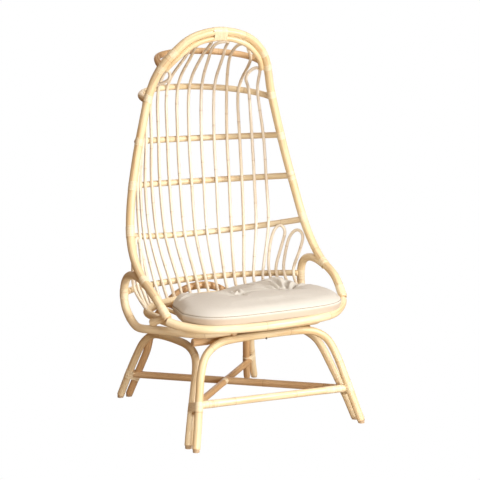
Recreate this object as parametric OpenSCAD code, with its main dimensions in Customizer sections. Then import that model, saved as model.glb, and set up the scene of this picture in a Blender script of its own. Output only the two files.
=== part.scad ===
// Free-standing hooded cocoon chair in peeled rattan, with a loose seat cushion.
// Units are millimetres, +Z up, the sitter faces -Y, the left side is -X.

/* [Body] */
// Height of the hood's top pole centre above the floor
hoop_top = 1558; // [1450:1:1650]
// Diameter of the main hoop pole
hoop_d = 34; // [28:0.5:40]
// Diameter of the horizontal ribs
rib_d = 26; // [20:0.5:32]
// Diameter of the upright canes and side petals
cane_d = 13; // [9:0.5:16]
// Diameter of the arm poles
arm_d = 33; // [28:0.5:38]

/* [Seat] */
// Diameter of the seat ring poles
ring_d = 34; // [28:0.5:38]
// Height of the seat ring's front centre
ring_front_z = 445; // [440:1:450]
// Diameter of the seat slats
slat_d = 16; // [12:1:20]
// Thickness of the seat cushion pad
pad_t = 76; // [50:2:84]

/* [Base] */
// Diameter of the leg poles
leg_d = 31; // [26:0.5:36]
// Height of the front hoop's top bar
base_top = 383; // [360:1:390]
// Distance between the front foot centres
foot_front_w = 752; // [700:2:800]
// Distance between the back foot centres
foot_back_w = 600; // [540:2:660]

/* [Hidden] */
yo = -29.6;                   // shift that centres the part on its box
binding_t = 2.2;             // thickness of the cane wrapping
e = 0.3;                     // running gap at tangent crossings
hr = hoop_d / 2;
rr = rib_d / 2;
cr_ = cane_d / 2;
ar = arm_d / 2;
sr = ring_d / 2;
lr = leg_d / 2;

rattan = [0.93, 0.80, 0.60];
wrap_c = [0.96, 0.86, 0.68];
linen = [0.93, 0.90, 0.85];
steel = [0.35, 0.33, 0.30];

// ---- curve helpers --------------------------------------------------------
function cm(a, b, c, d, t) = 0.5 * (2 * b + (c - a) * t + (2 * a - 5 * b + 4 * c - d) * t * t
    + (3 * b - a - 3 * c + d) * t * t * t);
function spline(p, k) = [for (i = [0 : len(p) - 2], j = [0 : k - 1])
    cm(p[max(i - 1, 0)], p[i], p[i + 1], p[min(i + 2, len(p) - 1)], j / k), p[len(p) - 1]];
function unit(v) = v / norm(v);
function flip(p) = [for (q = p) [-q[0], q[1], q[2]]];
function rev(p) = [for (i = [len(p) - 1 : -1 : 0]) p[i]];
// right half (first point low, last point on the centre plane) made into a full curve
function full(p) = concat(p, rev(flip([for (i = [0 : len(p) - 2]) p[i]])));
function tang(p, i) = unit(p[min(i + 1, len(p) - 1)] - p[max(i - 1, 0)]);
function seed(t) = unit(cross(t, abs(t[2]) > 0.9 ? [1, 0, 0] : [0, 0, 1]));
function carry(n, t) = unit(n - (n * t) * t);
function normals(p, i, acc) = i == len(p) ? acc
    : normals(p, i + 1, concat(acc, [carry(acc[i - 1], tang(p, i))]));

// round pole along a list of centre points
module pole(p, r, n = 10) {
    ns = normals(p, 1, [seed(tang(p, 0))]);
    m = len(p);
    pts = [for (i = [0 : m - 1]) let (t = tang(p, i), u = ns[i], v = cross(t, u))
        for (j = [0 : n - 1]) p[i] + r * (cos(360 * j / n) * u + sin(360 * j / n) * v)];
    polyhedron(pts, concat(
        [[for (j = [0 : n - 1]) j]],
        [[for (j = [n - 1 : -1 : 0]) (m - 1) * n + j]],
        [for (i = [0 : m - 2], j = [0 : n - 1]) let (k = (j + 1) % n)
            [i * n + j, (i + 1) * n + j, (i + 1) * n + k]],
        [for (i = [0 : m - 2], j = [0 : n - 1]) let (k = (j + 1) % n)
            [i * n + j, (i + 1) * n + k, i * n + k]]), convexity = 12);
}
// straight round bar between two points
module bar(a, b, r, n = 24) {
    d = b - a;
    translate(a) rotate([0, acos(d[2] / norm(d)), atan2(d[1], d[0])])
        cylinder(r = r, h = norm(d), $fn = n);
}
// short wrapping: a sleeve of length w centred on c, running along direction d
module sleeve(c, d, r, w, n = 20) { bar(c - unit(d) * w / 2, c + unit(d) * w / 2, r, n); }
// wrapping around two poles lying side by side; a and b are their centres
module sleeve2(a, b, d, r, w) {
    z = unit(d);
    x = unit((b - a) - ((b - a) * z) * z);
    y = cross(z, x);
    l = norm((b - a) - ((b - a) * z) * z);
    multmatrix([[x[0], y[0], z[0], a[0]], [x[1], y[1], z[1], a[1]], [x[2], y[2], z[2], a[2]]])
        translate([0, 0, -w / 2]) linear_extrude(w) {
            circle(r = r, $fn = 20);
            translate([l, 0]) circle(r = r, $fn = 20);
            translate([0, -r]) square([l, 2 * r]);
        }
}

// ---- curves of the shell --------------------------------------------------
hoop_half = [[399, -218, 480], [414, -131, 553], [416, -27, 603], [415, 54, 675],
    [405, 108, 765], [383, 143, 890], [348, 168, 1045], [310, 177, 1200], [280, 176, 1315],
    [250, 148, 1400], [205, 112, 1470], [125, 95, 1533], [0, 92, hoop_top]];
crown_half = [[224, 155, 1401], [185, 116, 1452], [114, 98, 1507], [0, 95, hoop_top - 27.5]];

// a rib is an arc of an ellipse that dips or rises towards the back:
// [half width, depth radius, ellipse centre y, end angle, end z, back z]
rib_b = [286, 255, 200, 95, 1281, 1320];
rib_c = [335, 360, 100, 78, 1120, 1095];
rib_d_ = [383, 384, 56, 75, 946, 910];
rib_e = [444, 497, -97, 65, 760, 687];
rib_f = [463, 311, -6, 61, 519, 509];
// seat ring: an ellipse behind, nearly straight sides in front
ring_k = [366, 250, 0, 90, 445, 440];
function rib_pt(k, f, inset) = let (
        y0 = k[2] + k[1] * cos(k[3]), y1 = k[2] + k[1],
        y = k[2] + (k[1] - inset) * cos(f), yy = k[2] + k[1] * cos(f))
    [(k[0] - inset) * sin(f), y, k[4] + (k[5] - k[4]) * (yy - y0) / (y1 - y0)];
function rib_path(k, n) = [for (i = [0 : n]) rib_pt(k, k[3] * (1 - 2 * i / n), 0)];
hood_half = [[240, 152, 1418], [230, 208, 1440], [192, 272, 1458], [105, 322, 1470],
    [0, 338, 1474]];

// upright canes: seven hairpins, each with two legs that lie inside the ribs
step = [7.0, 5.85, 7.1, 8.8, 10.0, 12.0];   // angle between canes at each level
ci = rr + cr_ + e;
function leg_pts(m) = [
    rib_pt(ring_k, m * step[0], 1) + [0, 0, 6], rib_pt(rib_f, m * step[1], ci + 3.5),
    rib_pt(rib_e, m * step[2], ci + 0.5), rib_pt(rib_d_, m * step[3], ci + 0.5),
    rib_pt(rib_c, m * step[4], ci + 0.5), rib_pt(rib_b, m * step[5], ci + 0.5)];
// the turn at the top of each hairpin, and the bow of its legs below the turn
function turn(k) = abs(k) == 3 ? [k / 3 * 212, 178, 1408]
    : abs(k) == 2 ? [k * 76, 152, k < 0 ? 1480 : 1508] : [k * 78, 204, 1516 - 2 * k * k];
function over(k, s) = abs(k) == 3
    ? [turn(k) + [s * 31, 34, -48], turn(k) + [s * 24, 8, -14]]
    : let (x = k * 87 + s * (25 + 4 * abs(k)))
        [[x, 316 - 95 * pow(abs(x) / 205, 3), 1447 - 6 * abs(k)],
        turn(k) + [s * 30, 48, -20], turn(k) + [s * 22, 11, -3]];
function hairpin(k) = concat(leg_pts(2 * k - 0.5), over(k, -1), [turn(k) + [0, -6, 0]],
    rev(over(k, 1)), rev(leg_pts(2 * k + 0.5)));
module cane_loop(k) { color(rattan) translate([0, yo, 0]) pole(spline(hairpin(k), 3), cr_, 7); }

// side petals between the seat rail and the lower rib (right side)
petal_rear = [[294, 148, 449], [296, 210, 528], [306, 223, 625], [319, 211, 700],
    [339, 192, 731], [354, 172, 702], [344, 192, 625], [321, 194, 528], [318, 124, 449]];
petal_front = [[342, 89, 449], [347, 170, 528], [358, 170, 625], [370, 152, 690],
    [388, 122, 716], [399, 98, 688], [392, 116, 620], [376, 140, 528], [359, 48, 449]];

// ---- curves of the seat and arms (right side) -----------------------------
arm_pts = [[415, -44, 588], [414, -5, 598], [415, 36, 603], [416, 78, 600],
    [417, 114, 586], [418, 138, 557], [419, 147, 514], [418, 138, 463], [415, 98, 421],
    [408, 46, 393], [388, -12, 394], [358, -64, 397], [328, -128, 401], [294, -196, 404],
    [252, -244, 407], [206, -266, 412], [160, -272, 414.5]];
bow_half = [[399, -214, 470], [383, -236, 461], [352, -268, 453], [303, -309, 446],
    [238, -342, ring_front_z - 1], [130, -367, ring_front_z - 1], [0, -376, ring_front_z - 1]];
ring_half = concat([[364, -250, 453], [367, -120, 447]],
    [for (f = [90 : -15 : 0]) rib_pt(ring_k, f, 0)]);
function bow_y(x) = -376 + 34 * pow(abs(x) / 240, 2.3);
function ring_y(x) = ring_k[1] * sqrt(1 - pow(x / ring_k[0], 2));

// ---- curves of the base (right side, foot first) --------------------------
ff = foot_front_w / 2;
fb = foot_back_w / 2;
front_half = [[ff - 2, -399, 9], [ff - 24, -372, 95], [ff - 47, -340, 190],
    [ff - 70, -311, 275], [ff - 102, -291, 338], [ff - 160, -280, base_top - 10],
    [140, -275, base_top - 1], [0, -274, base_top]];
back_half = [[fb - 8, 397, 9], [fb - 24, 374, 70], [fb - 42, 344, 145], [fb - 59, 314, 220],
    [fb - 70, 296, 300], [fb - 95, 294, 365], [fb - 145, 296, 416], [fb - 203, 298, 456],
    [45, 298, 474], [0, 298, 477]];
side_pts = [[ff + 3, -345, 9], [ff - 19, -319, 85], [ff - 44, -290, 160],
    [ff - 70, -259, 235], [ff - 87, -236, 285], [ff - 99, -198, 321], [268, -120, 338],
    [262, 0, 334], [258, 140, 321], [256, 232, 302], [fb - 33, 293, 262],
    [fb - 23, 335, 205], [fb - 3, 365, 130], [fb + 16, 387, 60], [fb + 31, 400, 9]];
// bars between the legs: both ends lie between the two poles of a leg
long_a = [-fb + 16, 364, 105];
long_b = [ff - 39, -318, 128];
short_a = [-ff + 40, -314, 150];
short_b = [fb - 16, 364, 91];

// ---- sub-parts ------------------------------------------------------------
module main_hoop() { color(rattan) translate([0, yo, 0]) pole(spline(full(hoop_half), 3), hr, 12); }
module crown_pole() { color(rattan) translate([0, yo, 0]) pole(spline(full(crown_half), 3), 11, 10); }
module rib_hood() { color(rattan) translate([0, yo, 0]) pole(spline(full(hood_half), 3), rr); }
module rib_crest() { color(rattan) translate([0, yo, 0]) pole(rib_path(rib_b, 22), rr); }
module rib_upper() { color(rattan) translate([0, yo, 0]) pole(rib_path(rib_c, 22), rr); }
module rib_middle() { color(rattan) translate([0, yo, 0]) pole(rib_path(rib_d_, 22), rr); }
module rib_lower() { color(rattan) translate([0, yo, 0]) pole(rib_path(rib_e, 22), rr); }
module seat_back_rail() { color(rattan) translate([0, yo, 0]) pole(rib_path(rib_f, 20), rr); }
module cane_loop_1() { cane_loop(-3); }
module cane_loop_2() { cane_loop(-2); }
module cane_loop_3() { cane_loop(-1); }
module cane_loop_4() { cane_loop(0); }
module cane_loop_5() { cane_loop(1); }
module cane_loop_6() { cane_loop(2); }
module cane_loop_7() { cane_loop(3); }
module petal(p) { color(rattan) translate([0, yo, 0]) pole(spline(p, 3), cr_, 8); }
module petal_left_front() { petal(flip(petal_front)); }
module petal_left_rear() { petal(flip(petal_rear)); }
module petal_right_front() { petal(petal_front); }
module petal_right_rear() { petal(petal_rear); }
module arm_left() { color(rattan) translate([0, yo, 0]) pole(spline(flip(arm_pts), 2), ar, 12); }
module arm_right() { color(rattan) translate([0, yo, 0]) pole(spline(arm_pts, 2), ar, 12); }
module seat_front_bow() { color(rattan) translate([0, yo, 0]) pole(spline(full(bow_half), 3), sr, 12); }
module seat_back_bow() { color(rattan) translate([0, yo, 0]) pole(spline(full(ring_half), 2), sr, 12); }
module seat_slats() {
    color(rattan) translate([0, yo, 0]) for (x = [-255 : 85 : 255])
        bar([x, bow_y(x) + 4, 442], [x, ring_y(x) - 4, 440], slat_d / 2, 20);
}
module seat_bearers() {
    color(rattan) translate([0, yo, 0]) {
        for (x = [-146, 146])
            bar([x, -286, 412], [x, 296, 412], 15, 24);
        bar([-292, -212, 371.5], [238, -212, 371.5], 16, 24);
    }
}
module base_front_hoop() { color(rattan) translate([0, yo, 0]) pole(spline(full(front_half), 3), lr, 12); }
module base_back_hoop() { color(rattan) translate([0, yo, 0]) pole(spline(full(back_half), 3), lr, 12); }
module base_left_hoop() { color(rattan) translate([0, yo, 0]) pole(spline(flip(side_pts), 3), lr, 12); }
module base_right_hoop() { color(rattan) translate([0, yo, 0]) pole(spline(side_pts, 3), lr, 12); }
module stretcher_long() { color(rattan) translate([0, yo, 0]) bar(long_a, long_b, 15, 24); }
// lapped over the long one where they cross
module stretcher_short() {
    color(rattan) translate([0, yo, 0]) difference() {
        bar(short_a, short_b, 14, 24);
        bar(long_a, long_b, 15, 24);
    }
}
module stretcher_front() {
    color(rattan) translate([0, yo, 0]) bar([-334, -345, 162], [334, -345, 137], 14.5, 24);
}
module bind_crown() {
    color(wrap_c) translate([0, yo, 0]) {
        sleeve2([-6, 92, hoop_top], [-6, 99, hoop_top - 26], [1, 0, 0], hr + binding_t, 58);
        for (s = [-1, 1])
            sleeve([s * 205, 112, 1470], [s * 62, 14, -60], hr + binding_t, 26);
    }
}
module rib_ties(s) {
    color(wrap_c) translate([0, yo, 0]) {
        sleeve([s * 244, 142, 1410], [s * 52, 36, -85], hr + binding_t, 28);
        sleeve([s * 287, 178, 1290], [s * 30, 0, -110], hr + binding_t, 28);
        sleeve([s * 331, 173, 1118], [s * 38, 8, -155], hr + binding_t, 28);
        sleeve([s * 372, 153, 945], [s * 35, 22, -150], hr + binding_t, 28);
        sleeve([s * 405, 109, 768], [s * 20, 40, -125], hr + binding_t, 28);
    }
}
module bind_ribs_left() { rib_ties(-1); }
module bind_ribs_right() { rib_ties(1); }
module bind_arms() {
    color(wrap_c) translate([0, yo, 0]) for (s = [-1, 1]) {
        sleeve([s * 416, 142, 512], [0, 2, 50], ar + binding_t, 40);
        sleeve([s * 415.5, -42, 596], [0, 80, 42], hr + binding_t + 1, 34);
    }
}
module bind_seat() {
    color(wrap_c) translate([0, yo, 0]) for (s = [-1, 1])
        sleeve([s * 403, -192, 500], [s * 14, 80, 68], hr + binding_t, 46);
}
module bind_legs() {
    color(wrap_c) translate([0, yo, 0]) for (s = [-1, 1]) {
        sleeve2([s * 340 + 3, -354, 148 - 10 * s], [s * 336 + 3, -294, 148 - 10 * s],
            [s * -24, 32, 95], 18, 34);
        sleeve2([s * 269, 362, 99 + 3 * s], [s * 306, 375, 99 + 3 * s],
            [s * -18, -26, 75], 18, 34);
    }
}
module bind_stretchers() {
    color(wrap_c) translate([0, yo, 0]) {
        sleeve2([-26, 23, 114], [-26, 23, 122], [1, -1, 0], 18, 36);
        sleeve([-284, -345, 160.1], [668, 0, -25], 16.5, 60);
        sleeve([276, -345, 139.2], [668, 0, -25], 16.5, 90);
    }
}
module corner_stubs() {
    color(rattan) translate([0, yo, 0]) for (s = [-1, 1])
        bar([s * 372, -168, 478], [s * 412, -96, 440], 15, 24);
}
module base_screws() {
    color(steel) translate([0, yo, 0]) {
        bar([-40, 71, hoop_top + 1], [-40, 80, hoop_top], 3, 16);
        bar([-5, -288, base_top - 14], [-5, -281, base_top - 7], 3.5, 16);
    }
}
module foot_glides() {
    color([0.80, 0.70, 0.55]) translate([0, yo, 0]) for (s = [-1, 1]) {
        translate([s * (ff - 2), -399, 0]) cylinder(r = 13, h = 14, $fn = 32);
        translate([s * (ff + 3), -345, 0]) cylinder(r = 13, h = 14, $fn = 32);
        translate([s * (fb - 8), 397, 0]) cylinder(r = 13, h = 14, $fn = 32);
        translate([s * (fb + 31), 400, 0]) cylinder(r = 13, h = 14, $fn = 32);
    }
}
// loose boxed pad with a domed top
pad_z = 452;
function pad_xy(t, q) = let (n = 2.8, hw = 366 - q, hd = 260 - q,
        y = -96 + hd * sign(sin(t)) * pow(abs(sin(t)), 2 / n),
        x = hw * sign(cos(t)) * pow(abs(cos(t)), 2 / n))
    [x * (1 - 0.28 * max(0, y + 230) / 380), y];
// the pad thins towards the back, and its front corners lie over the seat bow
module seat_cushion() {
    layers = [[215, 0], [70, 0], [26, 0.02], [16, 0.12], [4, 0.3], [0, 0.45], [4, 0.62], [24, 0.84],
        [75, 0.97], [150, 1], [215, 1]];
    n = 40;
    m = len(layers);
    pts = [for (l = layers, j = [0 : n - 1]) let (a = pad_xy(360 * (j + 0.5) / n, l[0]))
        [a[0], a[1], pad_z + l[1] * pad_t * (1 - 0.15 * max(0, a[1] + 60) / 210)]];
    color(linen) translate([0, yo, 0]) polyhedron(pts, concat(
        [[for (j = [0 : n - 1]) j]],
        [[for (j = [n - 1 : -1 : 0]) (m - 1) * n + j]],
        [for (i = [0 : m - 2], j = [0 : n - 1]) let (k = (j + 1) % n)
            [i * n + j, (i + 1) * n + j, (i + 1) * n + k]],
        [for (i = [0 : m - 2], j = [0 : n - 1]) let (k = (j + 1) % n)
            [i * n + j, (i + 1) * n + k, i * n + k]]), convexity = 4);
}

main_hoop();
crown_pole();
rib_hood();
rib_crest();
rib_upper();
rib_middle();
rib_lower();
seat_back_rail();
cane_loop_1();
cane_loop_2();
cane_loop_3();
cane_loop_4();
cane_loop_5();
cane_loop_6();
cane_loop_7();
petal_left_front();
petal_left_rear();
petal_right_front();
petal_right_rear();
arm_left();
arm_right();
seat_front_bow();
seat_back_bow();
seat_slats();
seat_bearers();
base_front_hoop();
base_back_hoop();
base_left_hoop();
base_right_hoop();
stretcher_long();
stretcher_short();
stretcher_front();
bind_crown();
bind_ribs_left();
bind_ribs_right();
bind_arms();
bind_seat();
bind_legs();
bind_stretchers();
corner_stubs();
base_screws();
foot_glides();
seat_cushion();
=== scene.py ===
"""Visual model of a hooded rattan chair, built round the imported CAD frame.

Poles, canes and bindings follow the CAD nodes' own centre lines. The cushion is a simulated pad.
All lengths are in metres, +Z is up, and the sitter faces -Y.
"""
import math
import random
import bpy
import numpy as np
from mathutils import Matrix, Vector, noise
from mathutils.bvhtree import BVHTree


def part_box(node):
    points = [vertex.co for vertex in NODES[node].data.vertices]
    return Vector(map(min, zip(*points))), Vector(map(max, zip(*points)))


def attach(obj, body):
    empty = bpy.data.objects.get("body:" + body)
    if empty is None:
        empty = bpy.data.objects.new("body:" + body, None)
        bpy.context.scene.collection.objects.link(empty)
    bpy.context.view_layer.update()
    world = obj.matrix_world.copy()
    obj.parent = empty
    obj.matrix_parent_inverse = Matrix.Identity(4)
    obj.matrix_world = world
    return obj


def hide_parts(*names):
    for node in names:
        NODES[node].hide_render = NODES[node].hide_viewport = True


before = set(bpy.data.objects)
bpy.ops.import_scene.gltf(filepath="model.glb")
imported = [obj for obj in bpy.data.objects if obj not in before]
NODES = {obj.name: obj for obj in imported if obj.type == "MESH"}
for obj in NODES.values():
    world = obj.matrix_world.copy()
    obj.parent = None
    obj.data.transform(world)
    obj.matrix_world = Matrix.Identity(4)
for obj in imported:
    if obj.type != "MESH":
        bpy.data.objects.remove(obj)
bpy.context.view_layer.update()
YO = -0.0296                      # the CAD's own shift in depth, in metres
CHAIR, CUSHION = "chair", "cushion"


def link(me, name, mats, body=CHAIR):
    """Puts a smooth shaded mesh into the scene; it rides on body where one is given."""
    o = bpy.data.objects.new(name, me)
    bpy.context.scene.collection.objects.link(o)
    for m in mats:
        me.materials.append(m)
    me.polygons.foreach_set("use_smooth", [True] * len(me.polygons))
    me.update()
    if body:
        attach(o, body)
    return o


# ---------------------------------------------------------------- materials
class Tree:
    """A short way to write shader nodes."""

    def __init__(self, name):
        self.m = bpy.data.materials.new(name)
        self.m.use_nodes = True
        self.t = self.m.node_tree
        self.bsdf = self.t.nodes["Principled BSDF"]

    def n(self, kind, **kw):
        """A new node: i_Name=value sets or links the input called Name, the rest are properties."""
        o = self.t.nodes.new("ShaderNode" + kind)
        for k, v in kw.items():
            if k.startswith("i_"):
                self.put(v, o.inputs[k[2:].replace("_", " ")])
            else:
                setattr(o, k, v)
        return o

    def put(self, v, socket):
        if isinstance(v, bpy.types.NodeSocket):
            self.t.links.new(v, socket)
        elif isinstance(v, bpy.types.Node):
            self.t.links.new(v.outputs[0], socket)
        else:
            socket.default_value = v

    def attr(self, name, out):
        return self.n("Attribute", attribute_name=name).outputs[out]

    def math(self, op, a, b=0.0, clamp=False):
        o = self.n("Math", operation=op, use_clamp=clamp)
        self.put(a, o.inputs[0])
        self.put(b, o.inputs[1])
        return o.outputs[0]

    def mix(self, f, a, b, kind="MIX"):
        o = self.n("Mix", data_type="RGBA", blend_type=kind)
        self.put(f, o.inputs[0])
        self.put(a, o.inputs[6])
        self.put(b, o.inputs[7])
        return o.outputs[2]

    def ramp(self, f, stops):
        o = self.n("ValToRGB")
        self.put(f, o.inputs[0])
        e = o.color_ramp.elements
        while len(e) < len(stops):
            e.new(0.5)
        for q, (p, c) in zip(e, stops):
            q.position = p
            q.color = (c, c, c, 1) if isinstance(c, (int, float)) else (*c, 1)
        return o.outputs[0]

    def noise(self, vec, scale, detail=3.0, rough=0.5):
        return self.n("TexNoise", i_Vector=vec, i_Scale=scale, i_Detail=detail,
                      i_Roughness=rough).outputs[0]

    def stretch(self, vec, x, y, z):
        o = self.n("VectorMath", operation="MULTIPLY")
        self.put(vec, o.inputs[0])
        o.inputs[1].default_value = (x, y, z)
        return o.outputs[0]


def rattan(name, light, mid, dark, fibre=1.0, rough=0.42, coat=0.22):
    """Peeled rattan under clear lacquer: fibres along the pole, growth rings, flecks, patches."""
    ring = 0.45         # how dark the growth rings are
    k = Tree(name)
    g = k.attr("grain", "Vector")
    tone = k.attr("tone", "Fac")
    mask = k.attr("ring", "Fac")
    fib = k.noise(k.stretch(g, 9, 620, 620), 1.0, 4, 0.6)
    streak = k.noise(k.stretch(g, 3.5, 150, 150), 1.0, 3, 0.55)
    patch = k.noise(k.stretch(g, 7, 26, 26), 1.0, 3, 0.6)
    base = k.mix(k.ramp(patch, [(0.30, 0.0), (0.72, 1.0)]), (*light, 1), (*mid, 1))
    for grain, lo, hi, amount in ((streak, 0.50, 0.70, 0.55), (fib, 0.52, 0.74, 0.35)):
        part = k.math("MULTIPLY", k.ramp(grain, [(lo, 0.0), (hi, 1.0)]), amount)
        base = k.mix(part, base, (*dark, 1))
    base = k.mix(k.math("MULTIPLY", tone, 0.40), base, (*mid, 1), "MULTIPLY")
    fleck = k.n("TexVoronoi", i_Vector=k.stretch(g, 55, 210, 210), i_Scale=1.0, i_Randomness=1.0)
    spot = k.ramp(fleck.outputs[0], [(0.05, 1.0), (0.16, 0.0)])
    sparse = k.ramp(k.noise(k.stretch(g, 14, 40, 40), 1.0, 2), [(0.56, 0.0), (0.64, 1.0)])
    fleck_colour = (dark[0] * 0.45, dark[1] * 0.35, dark[2] * 0.3, 1)
    ring_colour = (dark[0] * 0.5, dark[1] * 0.4, dark[2] * 0.35, 1)
    base = k.mix(k.math("MULTIPLY", k.math("MULTIPLY", spot, sparse), 0.45), base, fleck_colour)
    base = k.mix(k.math("MULTIPLY", mask, ring), base, k.mix(0.55, (*dark, 1), ring_colour))
    k.put(base, k.bsdf.inputs["Base Color"])
    worn = k.noise(k.stretch(g, 20, 120, 120), 1.0, 2)
    k.put(k.ramp(worn, [(0.3, rough - 0.07), (0.7, rough + 0.10)]), k.bsdf.inputs["Roughness"])
    k.bsdf.inputs["Coat Weight"].default_value = coat
    k.bsdf.inputs["Coat Roughness"].default_value = 0.24
    k.bsdf.inputs["Specular IOR Level"].default_value = 0.45
    h = k.math("ADD", k.math("MULTIPLY", fib, fibre), k.math("MULTIPLY", streak, 0.5 * fibre))
    h = k.math("SUBTRACT", h, k.math("MULTIPLY", spot, 0.25))
    b = k.n("Bump", i_Strength=0.22, i_Distance=0.0006, i_Height=h)
    k.put(b, k.bsdf.inputs["Normal"])
    return k.m


def end_grain():
    """Sawn pole end: pale pith with dark pores."""
    k = Tree("rattan_end_grain")
    co = k.n("TexCoord").outputs["Object"]
    pores = k.n("TexVoronoi", i_Vector=co, i_Scale=900.0, i_Randomness=0.9)
    p = k.ramp(pores.outputs[0], [(0.18, 1.0), (0.42, 0.0)])
    pat = k.noise(co, 160.0, 3)
    c = k.mix(pat, (0.62, 0.43, 0.24, 1), (0.78, 0.60, 0.38, 1))
    k.put(k.mix(k.math("MULTIPLY", p, 0.8), c, (0.30, 0.16, 0.07, 1)), k.bsdf.inputs["Base Color"])
    k.bsdf.inputs["Roughness"].default_value = 0.78
    b = k.n("Bump", i_Strength=0.5, i_Distance=0.0008, i_Height=k.math("SUBTRACT", pat, p))
    k.put(b, k.bsdf.inputs["Normal"])
    return k.m


PAD_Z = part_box("seat_cushion")[0].z


def cloth():
    """Plain woven cotton, cream, with slubs and a soft sheen."""
    k = Tree("cushion_cloth")
    co = k.n("TexCoord").outputs["Object"]
    warp, weft = (k.n("TexWave", i_Vector=co, i_Scale=330.0, i_Distortion=1.2, i_Detail=2.0,
                      i_Detail_Scale=0.4, bands_direction=axis, wave_profile="SIN").outputs[1]
                  for axis in "XY")
    w = k.math("MULTIPLY", warp, weft)
    slub = k.noise(k.stretch(co, 14, 260, 260), 1.0, 3)
    slub2 = k.noise(k.stretch(co, 260, 14, 14), 1.0, 3)
    big = k.noise(co, 7.0, 4)
    c = k.mix(big, (0.625, 0.605, 0.54, 1), (0.675, 0.655, 0.59, 1))
    for thick, amount, tint in ((slub, 0.35, (0.57, 0.54, 0.47, 1)),
                                (slub2, 0.30, (0.58, 0.55, 0.48, 1))):
        part = k.math("MULTIPLY", k.ramp(thick, [(0.55, 0.0), (0.75, 1.0)]), amount)
        c = k.mix(part, c, tint)
    c = k.mix(k.math("MULTIPLY", w, 0.14), c, (0.50, 0.45, 0.38, 1))
    # the side panel under the seam is painted a little browner: painted shade and painted reflected
    # colour from the seat's rattan
    height = k.n("SeparateXYZ", i_Vector=co).outputs[2]
    below = k.math("MULTIPLY", k.math("SUBTRACT", PAD_Z + 0.037, height), 110.0, clamp=True)
    c = k.mix(k.math("MULTIPLY", below, 0.60), c, (0.54, 0.42, 0.30, 1))
    k.put(c, k.bsdf.inputs["Base Color"])
    k.bsdf.inputs["Roughness"].default_value = 0.88
    k.bsdf.inputs["Sheen Weight"].default_value = 0.25
    k.bsdf.inputs["Sheen Roughness"].default_value = 0.45
    k.bsdf.inputs["Specular IOR Level"].default_value = 0.2
    h = k.math("ADD", k.math("MULTIPLY", w, 0.5), k.math("ADD", slub, slub2))
    b = k.n("Bump", i_Strength=0.35, i_Distance=0.0006, i_Height=h)
    k.put(b, k.bsdf.inputs["Normal"])
    return k.m


def plain(name, a, b, rough, metal=0.0, scale=300.0):
    """A material mottled between two colours, with a fine matching bump."""
    k = Tree(name)
    co = k.n("TexCoord").outputs["Object"]
    nz = k.noise(co, scale, 4)
    k.put(k.mix(nz, (*a, 1), (*b, 1)), k.bsdf.inputs["Base Color"])
    k.put(k.ramp(nz, [(0.3, rough - 0.08), (0.7, rough + 0.08)]), k.bsdf.inputs["Roughness"])
    k.bsdf.inputs["Metallic"].default_value = metal
    k.put(k.n("Bump", i_Strength=0.15, i_Distance=0.0004, i_Height=nz), k.bsdf.inputs["Normal"])
    return k.m


LIGHT, MID, DARK = (0.90, 0.81, 0.59), (0.85, 0.70, 0.44), (0.58, 0.35, 0.15)
M_POLE = rattan("rattan_pole", LIGHT, MID, DARK)
# browner rattan for the poles in the set below: partly their own tone, partly painted shade
M_SHADE_BROWN = rattan("rattan_pole_brown_shade", (0.78, 0.59, 0.36), (0.72, 0.50, 0.27), (0.48, 0.26, 0.11))
M_CANE = rattan("slim_cane", (0.91, 0.87, 0.77), (0.87, 0.79, 0.63), (0.58, 0.40, 0.22), 0.8)
M_BIND = rattan("binding_cane", (0.91, 0.83, 0.63), (0.87, 0.75, 0.50), (0.60, 0.39, 0.18), 0.7,
                rough=0.38, coat=0.3)
M_END = end_grain()
M_CLOTH = cloth()
M_THREAD = plain("seam_thread", (0.36, 0.30, 0.22), (0.27, 0.22, 0.16), 0.85, scale=900.0)
M_NAIL = plain("dull_steel", (0.30, 0.28, 0.25), (0.16, 0.14, 0.12), 0.42, 1.0)
M_FOOT = plain("foot_plug", (0.58, 0.44, 0.28), (0.46, 0.33, 0.20), 0.6)


# ---------------------------------------------------------------- CAD shapes read back
def shells(node):
    """The separate solids of a CAD node: (points, triangles, neighbours, indices of its points)."""
    me = NODES[node].data
    co = np.array([v.co for v in me.vertices], float)
    key = np.round(co * 1e5).astype(int)
    _, first, inv = np.unique(key, axis=0, return_index=True, return_inverse=True)
    inv = inv.reshape(-1)
    co = co[first]
    me.calc_loop_triangles()
    tri = np.array([[inv[i] for i in t.vertices] for t in me.loop_triangles])
    tri = tri[(tri[:, 0] != tri[:, 1]) & (tri[:, 1] != tri[:, 2]) & (tri[:, 0] != tri[:, 2])]
    near = [set() for _ in co]
    for a, b, c in tri:
        near[a] |= {b, c}
        near[b] |= {a, c}
        near[c] |= {a, b}
    seen, out = set(), []
    for s in range(len(co)):
        if s in seen or not near[s]:
            continue
        part, todo = {s}, [s]
        while todo:
            for q in near[todo.pop()]:
                if q not in part:
                    part.add(q)
                    todo.append(q)
        seen |= part
        out.append((co, tri[[t[0] in part for t in tri]], near, sorted(part)))
    return out


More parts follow.
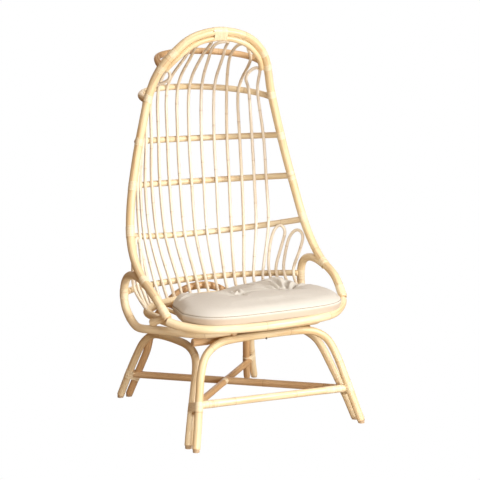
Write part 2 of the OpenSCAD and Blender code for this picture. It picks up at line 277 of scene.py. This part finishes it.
def caps(shell):
    """The two flat round ends: groups of coplanar triangles whose corners lie on one circle."""
    co, tri = shell[:2]
    nrm = np.cross(co[tri[:, 1]] - co[tri[:, 0]], co[tri[:, 2]] - co[tri[:, 0]])
    nrm /= np.maximum(np.linalg.norm(nrm, axis=1), 1e-12)[:, None]
    edges = {}
    for i, t in enumerate(tri):
        for a, b in ((t[0], t[1]), (t[1], t[2]), (t[2], t[0])):
            edges.setdefault((min(a, b), max(a, b)), []).append(i)
    root = list(range(len(tri)))

    def find(i):
        while root[i] != i:
            root[i] = root[root[i]]
            i = root[i]
        return i
    for fs in edges.values():
        if len(fs) == 2 and nrm[fs[0]] @ nrm[fs[1]] > 0.99995:
            root[find(fs[0])] = find(fs[1])
    groups = {}
    for i in range(len(tri)):
        groups.setdefault(find(i), []).append(i)
    found = []
    for g in groups.values():
        if len(g) < 4:
            continue
        v = sorted(set(tri[g].reshape(-1)))
        c = co[v].mean(0)
        d = np.linalg.norm(co[v] - c, axis=1)
        if sum(abs(d - d.max()) < 0.02 * d.max()) >= len(v) - 1:
            found.append((set(v), c, d.max()))
    return found


def tubes(node):
    """(centre points, radius) of every swept tube or bar in a CAD node."""
    out = []
    for shell in shells(node):
        co, near = shell[0], shell[2]
        ends = caps(shell)
        ends.sort(key=lambda q: (round(q[1][2], 3), q[1][0]))
        layer, done, line = set(ends[0][0]), set(ends[0][0]), [ends[0][1]]
        whole = True
        while True:
            nxt = set(q for a in layer for q in near[a]) - done
            if not nxt:
                break
            v = co[sorted(nxt)]
            c = v.mean(0)
            d = np.linalg.norm(v - c, axis=1)
            whole = whole and d.max() - d.min() < 0.25 * d.max() and d.max() < 1.6 * ends[0][2]
            line.append(c)
            done |= nxt
            layer = nxt
        if not whole or len(line) == 2:
            line = [ends[0][1], ends[-1][1]]
        out.append((np.array(line), ends[0][2]))
    return out


def smooth_line(p):
    """A fine, smooth curve through the ring centres."""
    step, passes = 0.002, 60
    if len(p) == 2:
        n = max(2, int(np.linalg.norm(p[1] - p[0]) / step))
        return p[0] + (p[1] - p[0]) * np.linspace(0, 1, n)[:, None]
    q = np.vstack([2 * p[0] - p[1], p, 2 * p[-1] - p[-2]])
    out = []
    for i in range(1, len(q) - 2):
        a, b, c, d = q[i - 1:i + 3]
        n = max(2, int(np.linalg.norm(c - b) / step))
        t = (np.arange(n) / n)[:, None]
        out.append(0.5 * (2 * b + (c - a) * t + (2 * a - 5 * b + 4 * c - d) * t ** 2
                          + (3 * b - a - 3 * c + d) * t ** 3))
    out = np.vstack(out + [p[-1:]])
    for _ in range(passes):
        out[1:-1] += 0.5 * (0.5 * (out[:-2] + out[2:]) - out[1:-1])
    return out


class Mesh:
    """Collects vertices, faces and the attributes that the materials read."""

    def __init__(self):
        self.v, self.f, self.mi = [], [], []
        self.grain, self.ring, self.tone = [], [], []

    def add(self, co, grain, ring, tone):
        i = sum(len(a) for a in self.v)
        self.v.append(np.asarray(co, float))
        self.grain.append(np.asarray(grain, float))
        self.ring.append(np.asarray(ring, float))
        self.tone.append(np.full(len(co), tone))
        return i

    def make(self, name, mats, body=CHAIR):
        me = bpy.data.meshes.new(name)
        me.from_pydata(np.vstack(self.v).tolist(), [], self.f)
        for nm, kind, data in (("grain", "FLOAT_VECTOR", np.vstack(self.grain)),
                               ("ring", "FLOAT", np.concatenate(self.ring)),
                               ("tone", "FLOAT", np.concatenate(self.tone))):
            a = me.attributes.new(nm, kind, "POINT")
            a.data.foreach_set("vector" if kind == "FLOAT_VECTOR" else "value",
                               data.astype(np.float32).reshape(-1))
        me.polygons.foreach_set("material_index", self.mi)
        return link(me, name, mats, body)


class Line:
    """A curve measured by its length, with a frame that doesn't twist."""

    def __init__(self, pts):
        self.p = pts
        d = np.linalg.norm(np.diff(pts, axis=0), axis=1)
        self.s = np.concatenate([[0], np.cumsum(d)])
        self.len = self.s[-1]
        t = np.gradient(pts, axis=0)
        self.t = t / np.linalg.norm(t, axis=1)[:, None]
        n = np.cross(self.t[0], (0.31, 0.12, 0.94))
        n /= np.linalg.norm(n)
        ns = [n]
        for q in self.t[1:]:
            n = n - (n @ q) * q
            n /= np.linalg.norm(n)
            ns.append(n)
        self.n = np.array(ns)

    def at(self, s):
        s = np.atleast_1d(s)
        p, t, n = (np.stack([np.interp(s, self.s, a[:, k]) for k in range(3)], 1)
                   for a in (self.p, self.t, self.n))
        t /= np.linalg.norm(t, axis=1)[:, None]
        n -= (n * t).sum(1)[:, None] * t
        n /= np.linalg.norm(n, axis=1)[:, None]
        return p, t, n, np.cross(t, n)

    def nearest(self, c):
        i = int(np.argmin(((self.p - c) ** 2).sum(1)))
        return self.s[i], float(np.linalg.norm(self.p[i] - c))


# extra sections round each growth ring
RING_CUTS = (-0.007, -0.004, -0.002, -0.0008, 0.0004, 0.0016, 0.003, 0.006)


def sweep(mesh, line, r, rng, seg, gap=(0.24, 0.42), knot=0.035, wave=0.012):
    """A rattan pole: growth rings that swell a little, slight ovality, bevelled sawn ends."""
    step, length = 0.008, line.len
    marks, s = [], rng.uniform(0.05, gap[1])
    while s < length - 0.03:
        marks.append(s)
        s += rng.uniform(*gap)
    marks = np.array(marks if marks else [-9.0])
    bev = min(0.003, r * 0.25)
    ss = set(np.round(np.arange(bev, length - bev, step), 5)) | {length - bev}
    for m in marks:
        if m > 0:
            ss |= {round(m + q, 5) for q in RING_CUTS}
    ss = np.array(sorted(q for q in ss if bev <= q <= length - bev))
    ss = ss[np.concatenate([[True], np.diff(ss) > 0.0004])]
    off = rng.uniform(0, 50)
    d = (ss[:, None] - marks[None, :])
    i = np.argmin(abs(d), axis=1)
    d = d[np.arange(len(ss)), i]
    swell = knot * np.exp(-(d / 0.0045) ** 2) - knot * 0.9 * np.exp(-((d + 0.001) / 0.0011) ** 2)
    ring = np.exp(-((d + 0.0006) / 0.0012) ** 2) + 0.25 * np.exp(-((d - 0.004) / 0.006) ** 2)
    slow = np.array([noise.noise(Vector((q * 5.0 + off, 0, 0))) for q in ss])
    slow2 = np.array([noise.noise(Vector((q * 14.0 + off, 7, 0))) for q in ss])
    rad = r * (1 + swell + wave * slow + 0.4 * wave * slow2)
    ring = np.clip(ring, 0, 1)
    # ends: a small bevel, then the flat
    ss = np.concatenate([[0, bev * 0.35], ss, [length - bev * 0.35, length]])
    rad = np.concatenate([[r * 0.86, r * 0.96], rad, [r * 0.96, r * 0.86]])
    ring = np.concatenate([[0.2, 0.1], ring, [0.1, 0.2]])
    p, t, n, b = line.at(ss)
    th = np.arange(seg) * 2 * math.pi / seg
    phase = off + ss * 1.7
    oval = 1 + 0.012 * np.cos(2 * (th[None, :] + phase[:, None]))
    rad = rad[:, None] * oval
    co = p[:, None, :] + rad[..., None] * (np.cos(th)[None, :, None] * n[:, None, :]
                                           + np.sin(th)[None, :, None] * b[:, None, :])
    along = np.repeat((ss + off)[:, None], seg, 1)
    grain = np.stack([along, rad * np.cos(th), rad * np.sin(th)], 2)
    k = mesh.add(co.reshape(-1, 3), grain.reshape(-1, 3), np.repeat(ring, seg), rng.uniform(0, 1))
    m = len(ss)
    for a in range(k, k + (m - 1) * seg, seg):
        for c in range(seg):
            e = (c + 1) % seg
            mesh.f.append((a + c, a + e, a + seg + e, a + seg + c))
            mesh.mi.append(0)
    mesh.f.append([k + c for c in range(seg)][::-1])
    mesh.f.append([k + (m - 1) * seg + c for c in range(seg)])
    mesh.mi += [1, 1]


LINES = {}      # node: its centre lines and radii, for the bindings


def pole_piece(node, mat, slot, seed, seg, **kw):
    """Stands for a CAD node of poles: each of its tubes is swept again as rattan with sawn ends."""
    rng = random.Random(seed)
    mesh = Mesh()
    LINES[node] = []
    for pts, r in tubes(node):
        line = Line(smooth_line(pts))
        LINES[node].append((line, r))
        sweep(mesh, line, r, rng, seg, **kw)
    o = mesh.make(node + ".pole", [mat, M_END])
    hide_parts(node)


POLES = ["main_hoop", "crown_pole", "rib_hood", "rib_crest", "rib_upper", "rib_middle", "rib_lower",
         "seat_back_rail", "arm_left", "arm_right", "seat_front_bow", "seat_back_bow", "seat_slats",
         "seat_bearers", "base_front_hoop", "base_back_hoop", "base_left_hoop", "base_right_hoop",
         "stretcher_long", "stretcher_short", "stretcher_front", "corner_stubs"]
# these poles are of a darker rattan: partly their own darker tone, partly painted shade
SHADE_BROWN_POLES = {"base_back_hoop", "stretcher_long", "stretcher_short", "seat_bearers", "rib_hood"}
for i, nd in enumerate(POLES):
    pole_piece(nd, M_SHADE_BROWN if nd in SHADE_BROWN_POLES else M_POLE, "rattan", 100 + i, 24)
CANES = ["cane_loop_%d" % i for i in range(1, 8)] + ["petal_left_front", "petal_left_rear",
                                                   "petal_right_front", "petal_right_rear"]
for i, nd in enumerate(CANES):
    pole_piece(nd, M_CANE, "slim_cane", 300 + i, 16, gap=(0.16, 0.30), knot=0.05, wave=0.025)


# ---------------------------------------------------------------- cane bindings
def wrap(mesh, line, s0, width, others, rng):
    """A flat strip of cane wound round one pole, or round the outline of several side by side."""
    strip, thick, per = 0.0052, 0.0011, 40      # the strip's width and thickness, sections per turn
    turns = max(2, int(round(width / strip)))
    pitch = width / turns
    steps = turns * per
    base_p, base_t, base_n, base_b = line.at(s0)
    ax, e1, e2 = base_t[0], base_n[0], base_b[0]
    org = base_p[0]

    def outline(z, th):
        """Support point of all pole sections at height z, seen along angle th."""
        best, pt = -9, None
        d2 = np.array([math.cos(th), math.sin(th)])
        for ln, s, r, run in others:
            q = ln.at(min(max(s + run * z, 0), ln.len))[0][0] if run else ln.at(s)[0][0]
            c = np.array([(q - org) @ e1, (q - org) @ e2])
            h = c @ d2 + r
            if h > best:
                best, pt = h, c + r * d2
        return pt, d2
    start = rng.uniform(0, 2 * math.pi)
    # the strip's section: place across it and height, as shares of the pitch and thickness
    prof = [(-0.5, 0.0), (-0.46, 0.7), (-0.30, 1.0), (0.0, 1.08), (0.30, 1.0), (0.46, 0.7),
            (0.5, 0.0)]
    co, gr, rg = [], [], []
    run_len, last = 0.0, None
    for j in range(steps + 1):
        th = start + 2 * math.pi * j / per
        z = -width / 2 + pitch * j / per
        if j < 3 or j > steps - 3:
            z = min(max(z, -width / 2 + pitch * 0.5), width / 2 - pitch * 0.5)
        jit = 0.00025 * math.sin(0.9 * j / per + start)
        for a, h in prof:
            az = z + a * pitch * 0.97 + jit
            pt, d2 = outline(az, th)
            lift = h * thick - 0.0003
            co.append(org + ax * az + e1 * pt[0] + e2 * pt[1] + (e1 * d2[0] + e2 * d2[1]) * lift)
        pt, _ = outline(z, th)
        if last is not None:
            run_len += float(np.linalg.norm(pt - last))
        last = pt
        for a, h in prof:
            gr.append((run_len, a * strip, h * thick))
            rg.append(0.0)
    k = mesh.add(co, np.array(gr) + (rng.uniform(0, 40), 0, 0), rg, rng.uniform(0, 0.6))
    m = len(prof)
    for a in range(k, k + steps * m, m):
        for c in range(a, a + m - 1):
            mesh.f.append((c, c + m, c + m + 1, c + 1))
            mesh.mi.append(0)
    for j in (0, steps):
        mesh.f.append([k + j * m + c for c in (range(m) if j == 0 else range(m - 1, -1, -1))])
        mesh.mi.append(0)


def binding(node, poles, reach, seed):
    """Winds each sleeve of a CAD binding node round the poles that pass through it."""
    rng = random.Random(seed)
    mesh = Mesh()
    for co, _, _, part in shells(node):
        v = co[part]
        c = 0.5 * (v.min(0) + v.max(0))
        cand = []
        for nd in poles:
            for line, r in LINES[nd]:
                s, d = line.nearest(c)
                cand.append((d, line, s, r))
        cand.sort(key=lambda q: q[0])
        line, s0, r0 = cand[0][1:]
        tan = line.at(s0)[1][0]
        tied = []
        for d, ln, s, r in cand:
            if d < r + reach:
                k = float(ln.at(s)[1][0] @ tan)
                tied.append((ln, s, r, (1 if k > 0 else -1) if abs(k) > 0.6 else 0))
        w = (v - line.at(s0)[0][0]) @ tan
        inside = np.percentile(w, 98) - np.percentile(w, 2)
        wrap(mesh, line, s0, float(inside), tied or [(line, s0, r0, 1)], rng)
    o = mesh.make(node + ".strips", [M_BIND])
    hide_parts(node)


# how far past a pole's skin a sleeve's middle may lie and still tie it
ONE, PAIR = 0.004, 0.022
binding("bind_crown", ["main_hoop", "crown_pole"], ONE, 1)
binding("bind_ribs_left", ["main_hoop"], ONE, 2)
binding("bind_ribs_right", ["main_hoop"], ONE, 3)
binding("bind_arms", ["main_hoop", "arm_left", "arm_right"], ONE, 4)
binding("bind_seat", ["main_hoop"], ONE, 5)
binding("bind_legs", ["base_front_hoop", "base_back_hoop", "base_left_hoop", "base_right_hoop"],
        PAIR, 6)
binding("bind_stretchers", ["stretcher_long", "stretcher_short", "stretcher_front"], ONE, 7)

for nd, m in (("base_screws", M_NAIL), ("foot_glides", M_FOOT)):
    for s in NODES[nd].material_slots:
        s.material = m


# ---------------------------------------------------------------- cushion
PAD_X, PAD_Y = 0.018, -0.100        # the pad's middle, before the shift in depth
PAD_HW, PAD_HD = 0.361, 0.265       # half its width and half its depth
# tufts: x, y, depth, length of the pit in x, its length in y
TUFTS = [(0.195, -0.100, 0.033, 0.050, 0.030), (-0.040, -0.115, 0.044, 0.024, 0.036),
         (-0.262, -0.050, 0.012, 0.030, 0.026)]
# creases drawn into the cloth: from, to, depth, half width
CREASES = [
    ((-0.03, -0.115), (0.110, -0.118), 0.008, 0.008),
    ((0.115, -0.140), (0.135, -0.215), 0.005, 0.006),
    ((0.16, -0.090), (0.06, -0.010), 0.010, 0.009),
    ((0.18, -0.085), (0.130, 0.045), 0.011, 0.009),
    ((0.195, -0.085), (0.205, 0.060), 0.010, 0.008),
    ((0.205, -0.090), (0.270, 0.035), 0.011, 0.009),
    ((0.215, -0.098), (0.310, -0.035), 0.010, 0.009),
    ((0.225, -0.108), (0.320, -0.090), 0.005, 0.008),
    ((0.175, -0.125), (0.150, -0.190), 0.004, 0.007),
    ((0.205, -0.128), (0.240, -0.200), 0.003, 0.007),
    ((-0.055, -0.105), (-0.130, -0.050), 0.007, 0.009),
    ((-0.035, -0.100), (-0.010, -0.010), 0.009, 0.009),
    ((-0.045, -0.135), (-0.060, -0.205), 0.006, 0.007),
    ((-0.250, -0.050), (-0.180, -0.020), 0.005, 0.009),
]


def smooth(t):
    """An even step from 0 to 1."""
    t = min(1.0, max(0.0, t))
    return t * t * (3 - 2 * t)


def bump(x, y, cx, cy, rx, ry):
    """A round hill of height 1 at (cx, cy)."""
    return math.exp(-((x - cx) / rx) ** 2 - ((y - cy) / ry) ** 2)


def taper(y):
    """How much narrower the pad is towards its back."""
    return 1 - 0.31 * max(0.0, y + 0.21) / 0.38


def pad_power(s):
    """Squarer corners in front (s below 0), rounder ones behind."""
    return 3.2 - 0.7 * s


def pad_plan(t, inset):
    """The pad's plan, in the frame before the shift in depth: wide in front, narrower behind."""
    c, s = math.cos(t), math.sin(t)
    hw, hd, e = PAD_HW - inset, PAD_HD - inset, 2 / pad_power(s)
    y = PAD_Y + hd * math.copysign(abs(s) ** e, s)
    return PAD_X + hw * math.copysign(abs(c) ** e, c) * taper(y), y


def seam_z(y):
    """Height of the sewn seam, higher in front."""
    return PAD_Z + 0.040 - 0.022 * smooth((y + 0.16) / 0.24)


def rim(x, y):
    """1 on the pad's outline, 0 in its middle."""
    k = pad_power((y - PAD_Y) / PAD_HD)
    return (abs((x - PAD_X) / (PAD_HW * taper(y))) ** k + abs((y - PAD_Y) / PAD_HD) ** k) ** (1 / k)


def top_z(x, y, f):
    """Height of the puffed top; f runs from 0 at the seam to 1 inside."""
    h = 0.029 + 0.016 * smooth((y + 0.16) / 0.24)
    h -= 0.034 * smooth((y + 0.10) / 0.15) * math.exp(-((x + 0.045) / 0.13) ** 2)
    h += (0.033 * bump(x, y, 0.252, 0.050, 0.070, 0.055)
          + 0.014 * bump(x, y, -0.235, 0.07, 0.06, 0.05))
    h += 0.008 * bump(x, y, 0.290, -0.14, 0.09, 0.08)
    for tx, ty, dz, rx, ry in TUFTS:
        h -= dz * bump(x, y, tx, ty, rx, ry)
    return seam_z(y) + max(0.002, h) * (1 - (1 - f) ** 2.6)


def crease_depth(x, y):
    """Depth of all the creases at a place, with the cloth pushed up beside each of them."""
    d = 0.0
    for (ax, ay), (bx, by), depth, half in CREASES:
        lx, ly = bx - ax, by - ay
        t = min(1.0, max(0.0, ((x - ax) * lx + (y - ay) * ly) / (lx * lx + ly * ly)))
        off = math.hypot(x - ax - t * lx, y - ay - t * ly)
        if off < 3.5 * half:
            fade = 1 - 0.75 * t
            w = half * (1 + 0.6 * t)
            dip = math.exp(-(off / w) ** 2)
            lip = 0.45 * math.exp(-((off - 1.9 * w) / w) ** 2)
            d += 1.35 * depth * fade * (dip - lip)
    return d


UNDER = ((0.20, 0.0), (0.12, 0.0), (0.060, 0.0), (0.006, 0.0), (0.004, 0.003), (0.003, 0.010),
         (0.001, 0.020))        # rings from the bottom's middle to the seam: inset, height
OVER = (0.0, 0.003, 0.008, 0.015, 0.024, 0.036, 0.050, 0.07, 0.095, 0.12, 0.145, 0.17, 0.195, 0.22)


def pad_mesh():
    """The cut pad before it is filled: rings of n points, closed by a fan below and above."""
    n = 180
    rings = [[(0.0, PAD_Y + YO, PAD_Z + 0.001)]]
    for inset, up in UNDER:
        row = []
        for j in range(n):
            t = 2 * math.pi * j / n
            tuck = max(0.0, 1 - up / 0.022) * 0.004 * (2 * abs(math.sin(t) * math.cos(t))) ** 2
            x, y = pad_plan(t, inset + tuck)
            row.append((x, y + YO, PAD_Z + 0.001 + up * (seam_z(y) - PAD_Z) / 0.029))
        rings.append(row)
    for inset in OVER:
        row = []
        for j in range(n):
            x, y = pad_plan(2 * math.pi * j / n, inset)
            row.append((x, y + YO, top_z(x, y, min(1.0, inset / 0.070))))
        rings.append(row)
    rings.append([(0.0, PAD_Y + YO, top_z(0, PAD_Y, 1.0))])
    v, f, start = [], [], []
    for r in rings:
        start.append(len(v))
        v += r
    for a in range(len(rings) - 1):
        p, q = rings[a], rings[a + 1]
        for j in range(n):
            k = (j + 1) % n
            if len(p) == 1:
                f.append((start[a], start[a + 1] + k, start[a + 1] + j))
            elif len(q) == 1:
                f.append((start[a] + j, start[a] + k, start[a + 1]))
            else:
                f.append((start[a] + j, start[a] + k, start[a + 1] + k, start[a + 1] + j))
    me = bpy.data.meshes.new("seat_cushion.pad")
    me.from_pydata(v, [], f)
    return me


def apply_all(o):
    """Applies all modifiers."""
    dg = bpy.context.evaluated_depsgraph_get()
    me = bpy.data.meshes.new_from_object(o.evaluated_get(dg))
    o.modifiers.clear()
    o.data = me


def pin_weight(x, y, z):
    """How firmly the cloth is held: the underside, the seam and the tufts."""
    y -= YO
    if z < PAD_Z + 0.006:
        return 1.0
    if rim(x, y) > 0.955 and z < seam_z(y) + 0.004:
        return 0.92
    if z > seam_z(y):
        for tx, ty, dz, rx, ry in TUFTS:
            if bump(x, y, tx, ty, rx * 0.5, ry * 0.5) > 0.5:
                return 1.0
    return 0.0


def inflate(o):
    """Cloth simulation: the cover is blown up from inside and wrinkles between its held places."""
    frames, most = 24, 0.012        # length of the run, and how far a point may move
    rest = np.array([v.co for v in o.data.vertices])
    g = o.vertex_groups.new(name="pin")
    for i, p in enumerate(rest):
        w = pin_weight(*p)
        if w:
            g.add([i], w, "REPLACE")
    c = o.modifiers.new("c", "CLOTH")
    s = c.settings
    s.quality, s.mass, s.air_damping = 6, 0.25, 2.0
    s.tension_stiffness = s.compression_stiffness = 18
    s.shear_stiffness, s.bending_stiffness = 6, 0.5
    s.use_pressure, s.uniform_pressure_force = True, 2.4
    s.vertex_group_mass = "pin"
    s.shrink_min = -0.012
    s.effector_weights.gravity = 0
    c.collision_settings.use_self_collision = False
    c.collision_settings.use_collision = False
    c.point_cache.frame_start, c.point_cache.frame_end = 1, frames
    for fr in range(1, frames + 1):
        bpy.context.scene.frame_set(fr)
    apply_all(o)
    bpy.context.scene.frame_set(1)
    d = np.array([v.co for v in o.data.vertices]) - rest
    ln = np.linalg.norm(d, axis=1)
    d *= (np.minimum(ln, most) / np.maximum(ln, 1e-9))[:, None]
    d[rest[:, 2] < PAD_Z + 0.004] = 0
    for i, (x, y, z) in enumerate(rest):    # the faces round the edge stay taut
        d[i] *= 1 - 0.85 * smooth((rim(x, y - YO) - 0.45) / 0.45)
    new = rest + d
    new[:, 2] = np.maximum(new[:, 2], PAD_Z)
    o.data.vertices.foreach_set("co", new.reshape(-1))


def draw_creases(o):
    """Creases between the tufts and the dip of the seam, cut into the finished cover."""
    me = o.data
    me.update()
    co = np.array([v.co for v in me.vertices])
    nr = np.array([v.normal for v in me.vertices])
    for i, (x, y, z) in enumerate(co):
        yy = y - YO
        if nr[i][2] > 0.2 and z > seam_z(yy) + 0.006:
            co[i][2] -= crease_depth(x, yy) * min(1.0, (nr[i][2] - 0.2) * 2)
        elif rim(x, yy) > 0.93:
            co[i] -= nr[i] * 0.0022 * math.exp(-((z - seam_z(yy)) / 0.0030) ** 2)
    top = PAD_Z + 0.082
    high = co[:, 2] > top
    co[high, 2] = top + (co[high, 2] - top) * 0.35
    me.vertices.foreach_set("co", co.reshape(-1))
    me.update()


def seam_thread(o):
    """The sewn seam round the pad: a fine twisted thread lying in the dip."""
    tree = BVHTree.FromObject(o, bpy.context.evaluated_depsgraph_get())
    pts = []
    n = 900
    for j in range(n):
        t = 2 * math.pi * j / n
        x, y = pad_plan(t, 0.0)
        out = Vector((x * 1.15, (y - PAD_Y) * 1.15 + PAD_Y + YO, seam_z(y)))
        mid = Vector((x * 0.3, (y - PAD_Y) * 0.3 + PAD_Y + YO, seam_z(y)))
        hit = tree.ray_cast(out, (mid - out).normalized())[0]
        if hit:
            pts.append(np.array(hit))
    pts = np.array(pts + pts[:1])
    for _ in range(4):
        pts[1:-1] = 0.25 * pts[:-2] + 0.5 * pts[1:-1] + 0.25 * pts[2:]
    line = Line(pts)
    mesh = Mesh()
    seg, r = 8, 0.0013
    s = np.arange(0, line.len, 0.0022)
    p, tg, nn, bb = line.at(s)
    th = np.arange(seg) * 2 * math.pi / seg
    rad = r * (1 + 0.22 * np.cos(2 * (th[None, :] - s[:, None] * 900)))
    co = p[:, None] + rad[..., None] * (np.cos(th)[None, :, None] * nn[:, None]
                                        + np.sin(th)[None, :, None] * bb[:, None])
    grain = np.stack([np.repeat(s[:, None], seg, 1), rad * np.cos(th), rad * np.sin(th)], 2)
    mesh.add(co.reshape(-1, 3), grain.reshape(-1, 3), np.zeros(len(s) * seg), 0.0)
    for a in range(len(s)):
        e = (a + 1) % len(s)
        for c in range(seg):
            k = (c + 1) % seg
            mesh.f.append((a * seg + c, a * seg + k, e * seg + k, e * seg + c))
            mesh.mi.append(0)
    w = mesh.make("seat_cushion.seam", [M_THREAD], CUSHION)


def cushion():
    """The seat pad: cut, filled, creased and sewn."""
    o = bpy.data.objects.new("seat_cushion.pad", pad_mesh())
    bpy.context.scene.collection.objects.link(o)
    m = o.modifiers.new("r", "REMESH")
    m.mode, m.voxel_size = "VOXEL", 0.0052
    apply_all(o)
    inflate(o)
    m = o.modifiers.new("even", "SMOOTH")
    m.factor, m.iterations = 0.5, 6
    m = o.modifiers.new("s", "SUBSURF")
    m.levels = m.render_levels = 1
    apply_all(o)
    draw_creases(o)
    o.data.materials.clear()
    o.data.materials.append(M_CLOTH)
    o.data.polygons.foreach_set("use_smooth", [True] * len(o.data.polygons))
    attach(o, CUSHION)
    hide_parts("seat_cushion")
    seam_thread(o)


cushion()

# ---------------------------------------------------------------- stage
me = bpy.data.meshes.new("floor")
me.from_pydata([(-9, -9, 0), (9, -9, 0), (9, 9, 0), (-9, 9, 0)], [], [(0, 1, 2, 3)])


def white_for_camera(tree, shade, out):
    """Pure white where the camera looks at the stage; for all other rays the given shader."""
    kind = "ShaderNodeEmission" if out.type == "OUTPUT_MATERIAL" else "ShaderNodeBackground"
    white = tree.nodes.new(kind)
    white.inputs[0].default_value, white.inputs[1].default_value = (1, 1, 1, 1), 1.0
    path, mix = tree.nodes.new("ShaderNodeLightPath"), tree.nodes.new("ShaderNodeMixShader")
    tree.links.new(path.outputs["Is Camera Ray"], mix.inputs[0])
    tree.links.new(shade.outputs[0], mix.inputs[1])
    tree.links.new(white.outputs[0], mix.inputs[2])
    tree.links.new(mix.outputs[0], out.inputs[0])


paint = plain("floor_paint", (0.40, 0.27, 0.15), (0.36, 0.25, 0.14), 0.9)
white_for_camera(paint.node_tree, paint.node_tree.nodes["Principled BSDF"],
                 paint.node_tree.nodes["Material Output"])
floor = link(me, "floor", [paint], None)


def lamp(name, at, to, size, power):
    """A square soft lamp at one point, turned to another."""
    d = bpy.data.lights.new(name, "AREA")
    d.shape, d.size, d.size_y, d.energy = "RECTANGLE", size, size, power
    o = bpy.data.objects.new(name, d)
    o.location = at
    o.rotation_euler = (Vector(to) - Vector(at)).to_track_quat("-Z", "Y").to_euler()
    bpy.context.scene.collection.objects.link(o)


lamp("key_right", (2.9, -4.2, 2.7), (0, 0, 0.8), 1.8, 265)
lamp("top", (-0.7, -1.4, 4.3), (0, 0, 0.7), 3.0, 75)
lamp("front_fill", (-0.4, -6.2, 1.1), (0, 0, 0.7), 2.0, 66)
lamp("front_low", (-0.8, -2.7, 0.5), (-0.1, 0, 0.42), 0.8, 32)
lamp("back_soft", (1.8, 4.6, 2.2), (0, 0, 0.7), 2.6, 30)
world = bpy.data.worlds.new("studio")
bpy.context.scene.world = world
world.use_nodes = True
sky = world.node_tree.nodes["Background"]
sky.inputs[0].default_value, sky.inputs[1].default_value = (1.0, 0.46, 0.16, 1), 0.19
white_for_camera(world.node_tree, sky, world.node_tree.nodes["World Output"])

bpy.context.scene.view_settings.view_transform = "Standard"

YAW, PITCH = 29.0, 9.67         # the camera looks to the right and down, in degrees
cam = bpy.data.cameras.new("camera")
cam.sensor_width, cam.lens = 36.0, 97.5
cam.clip_end = 60
camera = bpy.data.objects.new("camera", cam)
camera.location = (-2.502, -4.578 + YO, 1.608)
camera.rotation_euler = (math.radians(90 - PITCH), 0, math.radians(-YAW))
bpy.context.scene.collection.objects.link(camera)
bpy.context.scene.camera = camera
